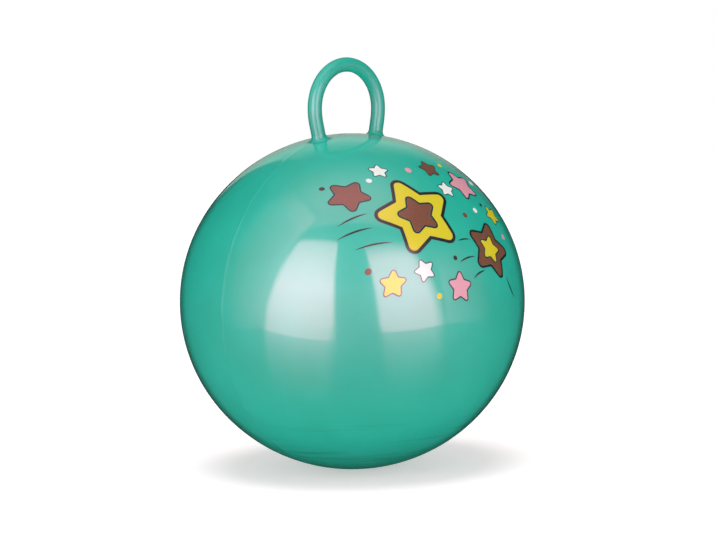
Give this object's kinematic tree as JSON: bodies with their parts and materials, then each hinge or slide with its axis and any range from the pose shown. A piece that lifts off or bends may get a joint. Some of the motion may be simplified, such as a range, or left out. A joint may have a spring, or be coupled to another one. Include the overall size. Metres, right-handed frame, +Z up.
{
  "type": "hopper ball",
  "caption": "Inflated bouncing ball to sit on, with a loop handle on its crown, a star print on its front and a plugged air valve at its back.",
  "frame": {"origin": "middle of the flat patch on which the ball stands, which is the bottom centre of its box", "axes": "+Z up through the handle, X across the loop of the handle, -Y towards the print, +Y towards the valve"},
  "size_m": [0.4504, 0.4498, 0.5352],
  "materials": {
    "teal_vinyl": "gloss",
    "socket_vinyl": "satin",
    "stopper_plastic": "satin",
    "dark_ink": "gloss",
    "yellow_ink": "gloss",
    "brown_ink": "gloss",
    "pink_ink": "gloss",
    "white_ink": "gloss"
  },
  "bodies": {
    "ball": {"ball_skin": "teal_vinyl", "loop_handle": "teal_vinyl", "valve_socket": "socket_vinyl", "print_dark": "dark_ink", "print_yellow": "yellow_ink", "print_brown": "brown_ink", "print_pink": "pink_ink", "print_white": "white_ink"},
    "stopper": {"valve_stopper": "stopper_plastic"}
  },
  "joints": [
    {"name": "stopper_pull", "type": "slide", "parent": "ball", "child": "stopper", "axis": [0, 1, 0], "range_m": [0, 0.026]}
  ]
}
